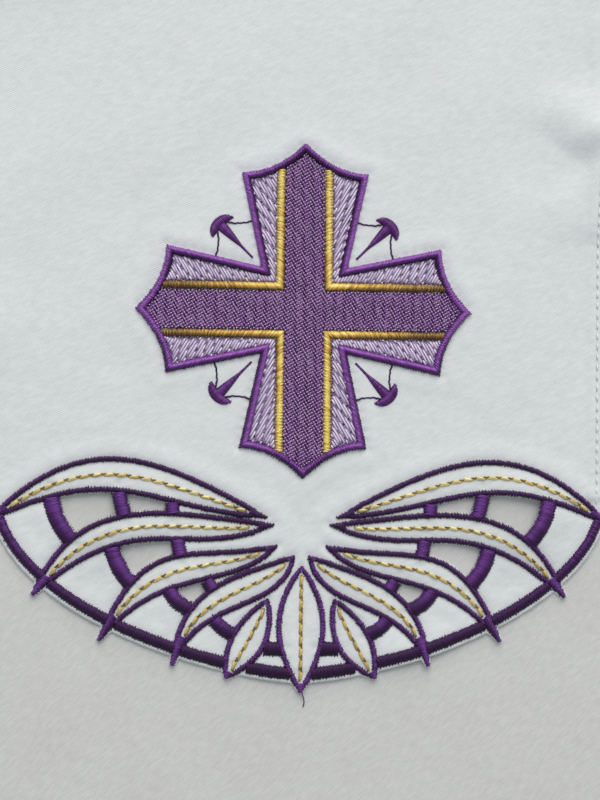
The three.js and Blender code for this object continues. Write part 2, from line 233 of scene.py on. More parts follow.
def threads(starts, ends, high, half, thick, rings=None, shades=(0.6, 1.0), squareness=None, shadedEnd=None, litAlongY=1.0,
            sides=None, shine=0.0):
    rings = rings or sewing["rings"]
    sides = sides or sewing["sides"]
    starts = np.asarray(starts, float)
    ends = np.asarray(ends, float)
    count = len(starts)
    high = np.broadcast_to(high, count)
    half = np.broadcast_to(half, count)
    thick = np.broadcast_to(thick, count)
    share = 0.5 - 0.5 * np.cos(np.linspace(0, np.pi, rings))
    arch = (1 - np.abs(2 * share - 1) ** (squareness or sewing["squareness"])) ** sewing["fullness"]
    line = np.zeros((count, rings, 3))
    line[:, :, :2] = starts[:, None] + (ends - starts)[:, None] * share[None, :, None]
    line[:, :, 2] = faceHeight(line[:, :, 0], line[:, :, 1]) - sewing["sink"]
    line[:, :, 2] += (high[:, None] + sewing["sink"]) * arch[None]
    along = np.gradient(line, axis=1)
    along /= np.linalg.norm(along, axis=2)[:, :, None]
    flat = ends - starts
    flat /= np.maximum(1e-6, np.hypot(flat[:, 0], flat[:, 1]))[:, None]
    across = np.stack([flat[:, 1], -flat[:, 0], np.zeros(count)], axis=1)[:, None]
    outward = np.cross(np.broadcast_to(across, along.shape), along)
    taper = sewing["endWidth"] + (1 - sewing["endWidth"]) * np.sin(np.pi * share) ** 0.5
    turn = np.arange(sides) * 2 * np.pi / sides
    wide = np.cos(turn)[None, None, :, None] * (half[:, None] * taper)[:, :, None, None]
    deep = np.sin(turn)[None, None, :, None] * (thick[:, None] * taper)[:, :, None, None]
    points = line[:, :, None] + across[:, :, None] * wide + outward[:, :, None] * deep
    ring = np.arange(sides)
    quads = []
    for j in range(rings - 1):
        here = j * sides
        there = here + sides
        quads += [(here + k, there + k, there + (k + 1) % sides, here + (k + 1) % sides) for k in ring]
    last = (rings - 1) * sides
    for k in range(1, sides - 2, 2):
        quads.append((0, k, k + 1, k + 2))
        quads.append((last + k + 2, last + k + 1, last + k, last))
    quads = np.array(quads)[None] + (np.arange(count) * rings * sides)[:, None, None]
    rise = (2 * share - 1) * flat[:, 1:]
    away = np.abs((2 * share - 1) - sewing["crownShift"] * shine * flat[:, 1:])
    # Painted shade at both ends of the thread and a painted highlight on its crown
    body = np.clip((1 - away) / (shadedEnd or sewing["shadedEnd"]), 0, 1)
    body = sewing["endShade"] + (1 - sewing["endShade"]) * body
    tone = chance.uniform(*shades, count)[:, None] * body * (1 + shine * rise)
    # Painted shade on threads that run along Y, whose sheen turns away from the light
    tone *= (litAlongY + (1 - litAlongY) * flat[:, 0] ** 2)[:, None]
    tone = np.repeat(tone.ravel(), sides)
    return points.reshape(-1, 3), quads.reshape(-1, 4), tone


def joined(parts):
    points, quads, tones, first = [], [], [], 0
    for part in parts:
        points.append(part[0])
        quads.append(part[1] + first)
        tones.append(part[2])
        first += len(part[0])
    return np.concatenate(points), np.concatenate(quads), np.concatenate(tones)


def combOf(count):
    return np.where(np.arange(count) % 2, sewing["comb"], -sewing["comb"])


# A satin column between two lines of equal count, one thread for each pitch along its middle
def satin(lineA, lineB, pitch, high, shades, litAlongY=1.0, thick=0.2, over=None, shine=None):
    middle = (lineA + lineB) / 2
    run = lengths(middle)
    count = max(2, int(round(run[-1] / pitch)))
    places = (np.arange(count) + 0.5) * run[-1] / count
    starts = readAt(lineA, run, places)
    ends = readAt(lineB, run, places)
    span = np.hypot(*(ends - starts).T)
    heights = high * np.clip(span / sewing["fullSpan"], sewing["leastHigh"], 1.0)
    heights = heights * (1 + chance.normal(0, sewing["uneven"], count))
    along = (ends - starts) / np.maximum(0.3, span)[:, None]
    comb = combOf(count)[:, None]
    ragged, stray = sewing["ragged"], sewing["stray"]
    starts = starts + along * (comb + chance.normal(0, ragged, (count, 1))) + chance.normal(0, stray, (count, 2))
    ends = ends + along * (comb + chance.normal(0, ragged, (count, 1))) + chance.normal(0, stray, (count, 2))
    half = run[-1] / count * (over or sewing["over"])
    return threads(starts, ends, heights, half, thick, shades=shades, litAlongY=litAlongY, shine=shine or sewing["shine"])


# Materials
def newMaterial(name):
    material = bpy.data.materials.new(name)
    material.use_nodes = True
    return material, material.node_tree.nodes, material.node_tree.links, material.node_tree.nodes["Principled BSDF"]


# Sockets are set by their names, with a low line for each space
def setInputs(node, **values):
    for name, value in values.items():
        node.inputs[name.replace("_", " ")].default_value = value
    return node


def addNode(nodes, kind, **values):
    return setInputs(nodes.new("ShaderNode" + kind), **values)


# The cloth's twill and the plainer one of the surface under it
twills = {
    "whiteTwill": {"light": (0.88, 0.90, 0.885, 1), "shade": (0.70, 0.72, 0.71, 1), "pitch": 0.50, "slant": 66,
                   "depth": 0.06, "rumple": 0.35, "rough": 0.85, "cloud": (0.935, 0.93, 0.925, 1)},
    "surfaceTwill": {"light": (0.785, 0.78, 0.745, 1), "shade": (0.59, 0.585, 0.56, 1), "pitch": 0.55, "slant": 48,
                     "depth": 0.06, "rumple": 0.25, "rough": 0.9, "cloud": (0.92, 0.915, 0.905, 1)},
}


def twillMaterial(name):
    look = twills[name]
    material, nodes, links, shader = newMaterial(name)
    place = addNode(nodes, "TexCoord")
    turned = addNode(nodes, "Mapping", Rotation=(0, 0, math.radians(look["slant"])))
    links.new(place.outputs["Object"], turned.inputs["Vector"])
    ridges = addNode(nodes, "TexWave", Scale=2 * math.pi / (20 * look["pitch"] * mm), Distortion=1.6, Detail=2,
                     Detail_Scale=0.5)
    links.new(turned.outputs["Vector"], ridges.inputs["Vector"])
    drawn = addNode(nodes, "Mapping", Scale=(1, 0.3, 1))
    links.new(turned.outputs["Vector"], drawn.inputs["Vector"])
    slub = addNode(nodes, "TexNoise", Scale=1100, Detail=2)
    links.new(drawn.outputs["Vector"], slub.inputs["Vector"])
    cloud = addNode(nodes, "TexNoise", Scale=45, Detail=4)
    links.new(place.outputs["Object"], cloud.inputs["Vector"])
    height = addNode(nodes, "Mix", Factor=0.55)
    links.new(ridges.outputs["Fac"], height.inputs["A"])
    links.new(slub.outputs["Fac"], height.inputs["B"])
    grooves = addNode(nodes, "MapRange", From_Min=0.28, From_Max=0.62)
    links.new(height.outputs["Result"], grooves.inputs["Value"])
    tint = addNode(nodes, "Mix")
    tint.data_type = "RGBA"
    setInputs(tint, A=look["shade"], B=look["light"])
    links.new(grooves.outputs["Result"], tint.inputs["Factor"])
    soft = addNode(nodes, "Mix")
    soft.data_type = "RGBA"
    soft.blend_type = "MULTIPLY"
    setInputs(soft, B=look["cloud"])
    links.new(cloud.outputs["Fac"], soft.inputs["Factor"])
    links.new(tint.outputs["Result"], soft.inputs["A"])
    links.new(soft.outputs["Result"], shader.inputs["Base Color"])
    rumple = addNode(nodes, "TexNoise", Scale=190, Detail=3)
    links.new(place.outputs["Object"], rumple.inputs["Vector"])
    wavy = addNode(nodes, "Bump", Strength=0.6, Distance=look["rumple"] * mm)
    links.new(rumple.outputs["Fac"], wavy.inputs["Height"])
    bump = addNode(nodes, "Bump", Strength=0.7, Distance=look["depth"] * mm)
    links.new(height.outputs["Result"], bump.inputs["Height"])
    links.new(wavy.outputs["Normal"], bump.inputs["Normal"])
    links.new(bump.outputs["Normal"], shader.inputs["Normal"])
    setInputs(shader, Roughness=look["rough"], Sheen_Weight=0.1, Specular_IOR_Level=0.25)
    return material


# Thread colours from painted shade at its ends and hollows, over its body, to the painted highlight of its palest
# crowns, and the tones where they lie
rampStops = (0.1, 0.55, 0.95)
threadLooks = {
    "purpleSatin": {"colours": ((0.022, 0.003, 0.034), (0.125, 0.025, 0.190), (0.300, 0.095, 0.420)),
                    "rough": 0.38, "sheen": 0.05, "sheenTint": (0.8, 0.6, 1.0, 1), "metal": 0.5, "gloss": 0.6},
    # The cutwork's satin is a darker copy of the same purple thread: painted shade
    "shadedCutworkSatin": {"colours": ((0.016, 0.001, 0.023), (0.062, 0.007, 0.098), (0.175, 0.042, 0.300)),
                     "rough": 0.45, "sheen": 0.1, "sheenTint": (0.85, 0.75, 0.95, 1), "metal": 0.35, "gloss": 0.5},
    "purpleFill": {"colours": ((0.040, 0.006, 0.055), (0.235, 0.075, 0.315), (0.900, 0.660, 0.930)),
                   "rough": 0.40, "sheen": 0.1, "sheenTint": (0.8, 0.65, 1.0, 1), "metal": 0.15, "gloss": 0.6},
    "lilacThread": {"colours": ((0.070, 0.028, 0.100), (0.540, 0.400, 0.630), (0.920, 0.810, 0.960)),
                    "rough": 0.40, "sheen": 0.1, "sheenTint": (0.9, 0.85, 1.0, 1), "metal": 0.1, "gloss": 0.6},
    "goldThread": {"colours": ((0.090, 0.032, 0.003), (0.800, 0.460, 0.060), (1.000, 0.810, 0.210)),
                   "rough": 0.32, "sheen": 0.0, "sheenTint": (1, 0.9, 0.6, 1), "metal": 0.1, "gloss": 0.9},
    "paleGold": {"colours": ((0.110, 0.060, 0.012), (0.640, 0.450, 0.120), (0.950, 0.820, 0.360)),
                 "rough": 0.35, "sheen": 0.0, "sheenTint": (1, 0.9, 0.6, 1), "metal": 0.15, "gloss": 0.6},
    "whiteThread": {"colours": ((0.45, 0.47, 0.48), (0.80, 0.82, 0.82), (0.90, 0.91, 0.91)),
                    "rough": 0.5, "sheen": 0.1, "sheenTint": (1, 1, 1, 1), "metal": 0.0, "gloss": 0.4},
}


def threadMaterial(name):
    look = threadLooks[name]
    material, nodes, links, shader = newMaterial(name)
    tone = addNode(nodes, "Attribute")
    tone.attribute_name = "tone"
    place = addNode(nodes, "TexCoord")
    fibre = addNode(nodes, "TexNoise", Scale=5200, Detail=2)
    links.new(place.outputs["Object"], fibre.inputs["Vector"])
    blend = addNode(nodes, "Mix", Factor=0.18)
    links.new(tone.outputs["Fac"], blend.inputs["A"])
    links.new(fibre.outputs["Fac"], blend.inputs["B"])
    tint = addNode(nodes, "ValToRGB")
    for share, colour in zip(rampStops, look["colours"]):
        stop = tint.color_ramp.elements.new(share)
        stop.color = (*colour, 1)
    tint.color_ramp.elements.remove(tint.color_ramp.elements[0])
    tint.color_ramp.elements.remove(tint.color_ramp.elements[-1])
    links.new(blend.outputs["Result"], tint.inputs["Fac"])
    links.new(tint.outputs["Color"], shader.inputs["Base Color"])
    bump = addNode(nodes, "Bump", Strength=0.35, Distance=0.03 * mm)
    links.new(fibre.outputs["Fac"], bump.inputs["Height"])
    links.new(bump.outputs["Normal"], shader.inputs["Normal"])
    setInputs(shader, Roughness=look["rough"], Metallic=look["metal"], Specular_IOR_Level=look["gloss"],
              Sheen_Weight=look["sheen"], Sheen_Tint=look["sheenTint"])
    return material


materials = {name: threadMaterial(name) for name in threadLooks}
materials.update({name: twillMaterial(name) for name in twills})


def finished(piece, look, slot, *nodes):
    piece.data.materials.clear()
    piece.data.materials.append(materials[look])
    if nodes:
        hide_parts(*nodes)


def sewPiece(name, parts, look, slot, *nodes):
    finished(addPiece(name, *joined(parts)), look, slot, *nodes)


print("materials made")

# The leaves of the right half: both edges of each go from its inner tip to its outer tip
leaves = {
    "leaf_1": {"inner": (10, -60), "outer": (90, -61.5), "outerGap": 0.6, "room": 0.8,
               "upper": ((41, -43.5), (62, -32.5)), "lower": ((45, -57.5), (53, -43))},
    "leaf_2": {"inner": (8, -62), "outer": (77, -82.5),
               "upper": ((35, -60), (63.5, -50)), "lower": ((34.5, -73.5), (46.5, -55))},
    "leaf_3": {"inner": (7, -68), "outer": (58, -95.5),
               "upper": ((30.5, -74), (45, -62)), "lower": ((20.5, -82), (39.5, -72.5))},
    "leaf_4": {"inner": (2, -71), "outer": (37, -102.5),
               "upper": ((19, -77.5), (35, -79)), "lower": ((6.5, -88.5), (28.5, -81.5))},
    "leaf_5": {"inner": (9.5, -83.5), "outer": (21.5, -106),
               "upper": ((18, -89.5), (22.5, -95.5)), "lower": ((8, -95), (11, -101))},
    "leaf_centre": {"inner": (0, -74), "outer": (0, -110),
                    "upper": ((9, -87), (8, -96.5)), "lower": ((-9, -87), (-8, -96.5))},
}
# The leaves' tone ranges are painted light on one thread: the outer tips paler, a painted highlight where their
# threads turn across the light
leafSatin = {"half": 0.8, "pitch": 0.44, "high": 0.72, "innerShare": 0.3, "outerShare": 0.6, "tipRamp": 0.08,
             "innerGap": 0.6, "outerGap": 1.5,
             "shades": (0.62, 1.05), "tipShades": (0.8, 1.05), "litAlongY": 0.38, "tipLitAlongY": 0.5, "lap": 8}


def leafLines(leaf):
    upper = bezier((leaf["inner"], *leaf["upper"], leaf["outer"]))
    lower = bezier((leaf["inner"], *leaf["lower"], leaf["outer"]))
    return upper, lower


def leafThreads(leaf):
    upper, lower = leafLines(leaf)
    t = np.linspace(0, 1, len(upper))
    ramp = np.minimum(1, np.minimum(t, 1 - t) / leafSatin["tipRamp"])
    tip = np.where(t < 0.5, leafSatin["innerShare"], leafSatin["outerShare"])
    half = (leafSatin["half"] * (tip + (1 - tip) * ramp))[:, None]
    outerUpper = upper + leftOf(upper) * half
    outerLower = lower - leftOf(lower) * half
    room = np.hypot(*(upper - lower).T)
    first = np.flatnonzero(room > 2 * leafSatin["half"] + leafSatin["innerGap"])[0]
    last = np.flatnonzero(room > 2 * leafSatin["half"] + leaf.get("outerGap", leafSatin["outerGap"]))[-1]
    innerUpper = upper - leftOf(upper) * leafSatin["half"]
    innerLower = lower + leftOf(lower) * leafSatin["half"]
    pitch, high = leafSatin["pitch"], leafSatin["high"]
    shades, litAlongY = leafSatin["shades"], leafSatin["litAlongY"]
    body = slice(first - leafSatin["lap"], last + 1 + leafSatin["lap"])
    return [
        satin(outerUpper[: first + 1], outerLower[: first + 1], pitch, high, shades, litAlongY),
        satin(outerUpper[last:], outerLower[last:], pitch, high, leafSatin["tipShades"], leafSatin["tipLitAlongY"]),
        satin(outerUpper[body], innerUpper[body], pitch, high, shades, litAlongY),
        satin(innerLower[body], outerLower[body], pitch, high, shades, litAlongY),
    ]


# The left half is the right one seen in a mirror, on the cloth's own height there, with its faces turned round again
def onLift(part, mirror):
    if not mirror:
        return part
    points, quads, tone = part
    before = faceHeight(points[:, 0], points[:, 1])
    points = points * np.array([-1, 1, 1])
    points[:, 2] += faceHeight(points[:, 0], points[:, 1]) - before
    return points, quads[:, ::-1], tone


sides = {"right": False, "left": True}
for name, leaf in leaves.items():
    for side, mirror in sides.items():
        if name == "leaf_centre" and mirror:
            continue
        nodeName = name if name == "leaf_centre" else f"{name}_{side}"
        sewn = onLift(joined(leafThreads(leaf)), mirror)
        sewPiece(f"{nodeName}_satin", [sewn], "shadedCutworkSatin", "purple_satin", nodeName)
print("leaf outlines sewn")

# Bars and ribs between the leaves, and the edge band along the lower edge
bars = {
    "rib_1": {"start": (72.5, -51), "bend": (72, -62), "end": (65, -68), "half": 2.3},
    "bar_1a": {"start": (53, -50.5), "bend": (52.5, -56), "end": (50.5, -61.5), "half": 1.95},
    "bar_1b": {"start": (37.5, -52), "bend": (37.5, -56.5), "end": (37, -61), "half": 1.95},
    "rib_2": {"start": (55, -66), "bend": (54, -76), "end": (47, -81), "half": 2.25},
    "bar_2a": {"start": (36, -64), "bend": (35.5, -68.5), "end": (34.5, -73), "half": 1.9},
    "rib_3": {"start": (39, -78.5), "bend": (37, -86), "end": (30, -87), "half": 2.1},
    "bar_3a": {"start": (28.5, -76), "bend": (26.5, -79), "end": (25, -82), "half": 1.9},
    "rib_4": {"start": (26, -87.5), "bend": (23.5, -93), "end": (18, -94), "half": 2.1},
    "bar_5": {"start": (11.5, -97.5), "bend": (8, -98), "end": (4.5, -97.5), "half": 2.1},
}
# The bars' and the edge band's tone ranges and their darker threads along Y are painted light and shade on one thread
barSatin = {"pitch": 0.42, "high": 1.05, "thick": 0.22, "shades": (0.78, 1.1), "litAlongY": 0.25, "count": 200}
edgeBand = {"start": (86.9, -59.7), "bendA": (78, -87.5), "bendB": (25.5, -104), "end": (0, -105),
            "halfStart": 1.25, "halfEnd": 1.85, "pitch": 0.44, "high": 0.95, "shades": (0.55, 0.95), "litAlongY": 0.25,
            "count": 800, "lap": 0.45}


def insidePolygon(points, outline):
    x, y = points[:, 0], points[:, 1]
    inside = np.zeros(len(points), bool)
    for (x1, y1), (x2, y2) in zip(outline, np.roll(outline, -1, axis=0)):
        if y1 == y2:
            continue
        crosses = ((y1 > y) != (y2 > y)) & (x < (x2 - x1) * (y - y1) / (y2 - y1) + x1)
        inside ^= crosses
    return inside


def leafShape(leaf, margin):
    upper, lower = leafLines(leaf)
    top = upper + leftOf(upper) * margin
    bottom = lower - leftOf(lower) * margin
    return np.concatenate([top[::12], bottom[::-12]])


leafShapes = [leafShape(leaf, leafSatin["half"] - edgeBand["lap"]) for leaf in leaves.values()]
leafShapes += [mirrored(shape) for shape in leafShapes[:-1]]


# Threads whose middle lies under a leaf's satin are left out
def ribbonThreads(line, halves, sewn):
    run = lengths(line)
    pitch, high = sewn["pitch"], sewn["high"]
    count = int(round(run[-1] / pitch))
    places = (np.arange(count) + 0.5) * run[-1] / count
    middle = readAt(line, run, places)
    away = readAt(leftOf(line), run, places)
    half = np.interp(places, run, halves) + sewing["spread"]
    comb, ragged = combOf(count), sewing["ragged"]
    starts = middle + away * (half - comb + chance.normal(0, ragged, count))[:, None]
    ends = middle - away * (half + comb + chance.normal(0, ragged, count))[:, None]
    hidden = np.zeros(count, bool)
    for shape in leafShapes:
        hidden |= insidePolygon(middle, shape)
    clear = ~hidden
    heights = high * (1 + chance.normal(0, sewing["uneven"], count))
    half = pitch * sewing["over"]
    return threads(starts[clear], ends[clear], heights[clear], half, barSatin["thick"], shades=sewn["shades"],
                   litAlongY=sewn["litAlongY"], shine=sewing["shine"])


for name, bar in bars.items():
    line = bezier((bar["start"], bar["bend"], bar["end"]), barSatin["count"])
    for side, mirror in sides.items():
        sewn = onLift(ribbonThreads(line, np.full(len(line), bar["half"]), barSatin), mirror)
        sewPiece(f"{name}_{side}_satin", [sewn], "shadedCutworkSatin", "purple_satin", f"{name}_{side}")

bandLine = bezier([edgeBand[handle] for handle in ("start", "bendA", "bendB", "end")], edgeBand["count"])
bandHalves = np.linspace(edgeBand["halfStart"], edgeBand["halfEnd"], len(bandLine))
for side, mirror in sides.items():
    sewn = onLift(ribbonThreads(bandLine, bandHalves, edgeBand), mirror)
    replaced = sorted(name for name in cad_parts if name.startswith("edge_band") and name.endswith(side))
    sewPiece(f"edge_band_{side}_satin", [sewn], "shadedCutworkSatin", "purple_satin", *replaced)
print("bars and edge band sewn")

# The cross: one arm along +Y, worked four times round
# The border's paler tones are a painted highlight on the same thread as the cutwork's, and its threads and the gold's
# that run along Y are darker as painted shade
cross = {"tip": 48.9, "cornerAcross": 18.5, "cornerAlong": 40.0, "notch": 12.6, "bend": (8.6, 40.1),
         "border": 2.2, "borderPitch": 0.4, "borderHigh": 1.3, "fillLap": 0.2, "shades": (0.95, 1.3),
         "litAlongY": 0.52}
gold = {"centre": 6.95, "half": 1.1, "pitch": 0.43, "high": 0.8, "endLap": 0.1, "shades": (0.6, 2.0),
        "litAlongY": 0.1, "over": 0.53, "shine": 0.6}


def quarterTurns(points):
    turned = []
    for quarter in range(4):
        c, s = round(math.cos(quarter * math.pi / 2)), round(math.sin(quarter * math.pi / 2))
        turned.append(np.stack([points[:, 0] * c - points[:, 1] * s, points[:, 0] * s + points[:, 1] * c], axis=1))
    return turned


def crossing(a, b, c, d):
    r, s = b - a, d - c
    t = ((c - a)[0] * s[1] - (c - a)[1] * s[0]) / (r[0] * s[1] - r[1] * s[0])
    return a + r * t


# One eighth of the border's outline at a distance inside it: notch, side, corner, curved end, tip
def eighth(inset):
    notch = np.array([cross["notch"], cross["notch"]])
    corner = np.array([cross["cornerAcross"], cross["cornerAlong"]])
    along = (corner - notch) / np.hypot(*(corner - notch))
    inward = np.array([-along[1], along[0]]) * inset
    end = bezier((corner, cross["bend"], (0, cross["tip"])), 120)
    end = end + leftOf(end) * inset
    newNotch = crossing(notch + inward, corner + inward, np.zeros(2), np.ones(2))
    newCorner = crossing(notch + inward, corner + inward, end[0], end[1])
    newTip = crossing(end[-2], end[-1], np.zeros(2), np.array([0.0, 1.0]))
    keep = end[(end[:, 0] > newTip[0]) & (end[:, 0] < newCorner[0])]
    side = newNotch + (newCorner - newNotch) * np.linspace(0, 1, 200)[:, None]
    return side, np.concatenate([[newCorner], keep, [newTip]])


def evenly(line, count=60):
    run = lengths(line)
    return readAt(line, run, np.linspace(0, run[-1], count))


outerSide, outerEnd = (evenly(line) for line in eighth(0))
innerSide, innerEnd = (evenly(line) for line in eighth(cross["border"]))
borderParts = []
for lineA, lineB in ((outerSide, innerSide), (outerEnd, innerEnd)):
    for flip in (1, -1):
        for a, b in zip(quarterTurns(lineA * (flip, 1)), quarterTurns(lineB * (flip, 1))):
            if flip < 0:
                a, b = b, a
            borderParts.append(satin(a, b, cross["borderPitch"], cross["borderHigh"], cross["shades"], cross["litAlongY"]))
sewPiece("cross_border_satin", borderParts, "purpleSatin", "purple_satin", "cross_border")

# Gold lines: an L in each quarter, its corner mitred
fillSide, fillEnd = (evenly(line) for line in eighth(cross["border"] - cross["fillLap"]))
goldReach = float(np.interp(gold["centre"], fillEnd[::-1, 0], fillEnd[::-1, 1])) - gold["endLap"]
quarters = {"upper_right": (1, 1), "upper_left": (-1, 1), "lower_left": (-1, -1), "lower_right": (1, -1)}
goldIn, goldOut = gold["centre"] - gold["half"], gold["centre"] + gold["half"]
for name, signs in quarters.items():
    runs = []
    for swap in (False, True):
        inner = np.linspace((goldIn, goldReach), (goldIn, goldIn), 300)
        outer = np.linspace((goldOut, goldReach), (goldOut, goldOut), 300)
        if swap:
            inner, outer = inner[:, ::-1], outer[:, ::-1]
        runs.append(satin(inner * signs, outer * signs, gold["pitch"], gold["high"], gold["shades"], gold["litAlongY"],
                          over=gold["over"], shine=gold["shine"]))
    sewPiece(f"gold_line_{name}_satin", runs, "goldThread", "gold_thread", f"gold_line_{name}")
print("cross border and gold lines sewn")

# Fill stitches in rows at a slant, clipped to an outline, each a short thread with its ends in the cloth
fillSewing = {"reach": 56.0, "look": 0.15, "least": 0.5, "shortest": 0.3, "stray": 0.035, "uneven": 0.1,
              "thick": 0.16, "sides": 4, "room": 0.05}
underlay = {"slant": 30, "pitch": 0.6, "stitch": 6.0, "high": 0.14, "half": 0.36, "brick": 0.37, "shift": 0,
            "square": 8, "shadedEnd": 0.2, "rings": 4, "shades": (0.0, 0.15)}
centreFill = {"slant": -60, "pitch": 0.425, "stitch": 6.0, "high": 0.33, "half": 0.25, "brick": 0.37, "shift": 0,
              "square": 8, "shadedEnd": 0.04, "rings": 4, "shades": (0.44, 0.68)}
# The flecks over it lie in a square lattice: pale ones, lighter stitches with a painted highlight on each crown, every
# second row paler, and dark ones between them, painted shade in the hollows between the stitches
highlightFleck = {"slant": -60, "pitch": 1.7, "stitch": 0.85, "length": 0.56, "high": 0.58, "half": 0.29, "brick": 0,
         "shift": 0, "square": 4, "shadedEnd": 0.3, "rings": 3, "shades": (2.0, 4.0)}
dimHighlightFleck = dict(highlightFleck, shift=0.85, shades=(1.2, 3.2))
shadeFleck = dict(highlightFleck, pitch=0.85, shift=0.425, along=0.5, length=0.5, high=0.5, half=0.2, shades=(0, 0.1))
# The open fills have long pale threads, dimmer ones between them and a sparse dark underlay
wedgeFill = {"slant": 60, "pitch": 0.74, "stitch": 9.3, "high": 0.42, "half": 0.28, "brick": 0.31, "shift": 0,
             "square": 8, "shadedEnd": 0.06, "rings": 4, "shades": (0.8, 1.12)}
wedgeGround = dict(wedgeFill, shift=0.37, brick=0.4, high=0.3, half=0.19, shades=(0.25, 0.52))
wedgeUnderlay = dict(underlay, shades=(0.2, 0.4))


def fillThreads(outlines, fill, slant):
    across = np.array([math.cos(math.radians(slant)), math.sin(math.radians(slant))])
    over = np.array([-across[1], across[0]])
    reach, look, least = fillSewing["reach"], fillSewing["look"], fillSewing["least"]
    fine = np.arange(-reach, reach, look)
    starts, ends = [], []
    for row in range(int(2 * reach / fill["pitch"])):
        offset = -reach + row * fill["pitch"] + fill["shift"]
        shift = ((row * fill["brick"] + fill.get("along", 0)) % 1.0) * fill["stitch"]
        cuts = np.arange(-reach + shift, reach, fill["stitch"])
        spots = over * offset + across * fine[:, None]
        inside = np.zeros(len(fine), bool)
        for outline in outlines:
            inside |= insidePolygon(spots, outline)
        edges = np.flatnonzero(np.diff(inside.astype(int)))
        for a, b in zip(edges[::2], edges[1::2]):
            low, high = fine[a] + look, fine[b]
            marks = [low, *[cut for cut in cuts if low + least < cut < high - least], high]
            for m, n in zip(marks, marks[1:]):
                if "length" in fill:
                    m, n = (m + n - fill["length"]) / 2, (m + n + fill["length"]) / 2
                    if m < low or n > high:
                        continue
                if n - m > fillSewing["shortest"]:
                    starts.append(over * offset + across * m)
                    ends.append(over * offset + across * n)
    starts, ends = np.array(starts), np.array(ends)
    count = len(starts)
    starts = starts + chance.normal(0, fillSewing["stray"], (count, 2))
    ends = ends + chance.normal(0, fillSewing["stray"], (count, 2))
    heights = fill["high"] * (1 + chance.normal(0, fillSewing["uneven"], count))
    return threads(starts, ends, heights, fill["half"], fillSewing["thick"], fill["rings"], fill["shades"],
                   fill["square"], fill["shadedEnd"], sides=fillSewing["sides"])


crossOutline = np.concatenate([innerSide[:-1:4], innerEnd[::4]])
crossOutline = np.concatenate([crossOutline, (crossOutline * (-1, 1))[::-1]])
band = goldIn - fillSewing["room"]
bandEnd = fillEnd[fillEnd[:, 0] < band]
armTop = np.concatenate([[(band, band)], [(band, bandEnd[0, 1])], bandEnd])
armTop = np.concatenate([armTop, (armTop * (-1, 1))[::-1]])
centreOutline = np.concatenate(quarterTurns(armTop))
centreLayers = (underlay, centreFill, highlightFleck, dimHighlightFleck, shadeFleck)
sewn = [fillThreads([centreOutline], fill, fill["slant"]) for fill in centreLayers]
sewPiece("cross_centre_fill_threads", sewn, "purpleFill", "dense_fill", "cross_centre_fill")

start = goldOut + fillSewing["room"]
endPart = fillEnd[fillEnd[:, 0] > start]
sidePart = fillSide[fillSide[:, 0] > start]
wedge = np.concatenate([[(start, start)], sidePart, endPart, [(start, endPart[-1, 1])]])
for name, signs in quarters.items():
    outlines = [wedge * signs, wedge[:, ::-1] * signs]
    slant = wedgeFill["slant"] * signs[0] * signs[1]
    layers = ((wedgeFill, slant), (wedgeGround, slant), (wedgeUnderlay, wedgeUnderlay["slant"]))
    sewn = [fillThreads(outlines, fill, turn) for fill, turn in layers]
    sewPiece(f"wedge_fill_{name}_threads", sewn, "lilacThread", "open_fill", f"wedge_fill_{name}")
print("fills sewn")

# Nails on the diagonals: a shank worked across its length and a rounded head worked along it
nail = {"point": 21.5, "waist": 26.5, "shankTop": 32.0, "brim": 33.8, "crown": 37.0,
        "halves": (0.42, 0.6, 1.45, 1.75), "brimHalf": 4.1, "droop": 0.5, "pitch": 0.42, "threadHalf": 0.58,
        "high": 0.6, "headHigh": 1.15, "thick": 0.2, "headThick": 0.22, "shades": (0.42, 0.75)}


def nailThreads(signs):
    places = np.array([nail["point"], nail["waist"], nail["shankTop"], nail["brim"] + 0.6])
    along = np.arange(nail["point"], nail["brim"] + 0.4, nail["pitch"])
    half = np.interp(along, places, nail["halves"])
    diagonal = np.array([1, 1]) / math.sqrt(2)
    over = np.array([-1, 1]) / math.sqrt(2)
    starts = diagonal * along[:, None] + over * half[:, None]
    ends = diagonal * along[:, None] - over * half[:, None]
    heights = nail["high"] * np.clip(half / 0.9, 0.5, 1)
    threadHalf = nail["pitch"] * nail["threadHalf"]
    shank = threads(starts * signs, ends * signs, heights, threadHalf, nail["thick"], shades=nail["shades"])
    wide = np.arange(-nail["brimHalf"] + 0.15, nail["brimHalf"], nail["pitch"])
    bow = np.sqrt(np.maximum(0, 1 - (wide / nail["brimHalf"]) ** 2))
    low = nail["brim"] - 0.1 - nail["droop"] * (1 - bow)
    high = nail["brim"] + (nail["crown"] - nail["brim"]) * bow
    starts = diagonal * low[:, None] + over * wide[:, None]
    ends = diagonal * high[:, None] + over * wide[:, None]
    heights = nail["high"] * nail["headHigh"] * np.clip(bow + 0.3, 0.5, 1)
    head = threads(starts * signs, ends * signs, heights, threadHalf, nail["headThick"], shades=nail["shades"])
    return shank, head


for name, signs in quarters.items():
    sewPiece(f"nail_{name}_satin", nailThreads(signs), "purpleSatin", "purple_satin", f"nail_{name}")
print("nails sewn")


# Running stitches: single threads end to end along a line
def runThreads(line, stitch, gap, high, half, thick, rings=6, slew=0.0, beside=0.0, shades=(0.6, 1.0), squareness=None,
               litAlongY=1.0):
    run = lengths(line)
    count = max(2, int(round(run[-1] / stitch)))
    step = run[-1] / count
    places = np.arange(count) * step
    away = leftOf(line)
    starts = readAt(line + away * (beside + slew), run, places + gap / 2)
    ends = readAt(line + away * (beside - slew), run, places + step - gap / 2)
    return threads(starts, ends, high, half, thick, rings, shades, squareness, litAlongY=litAlongY)


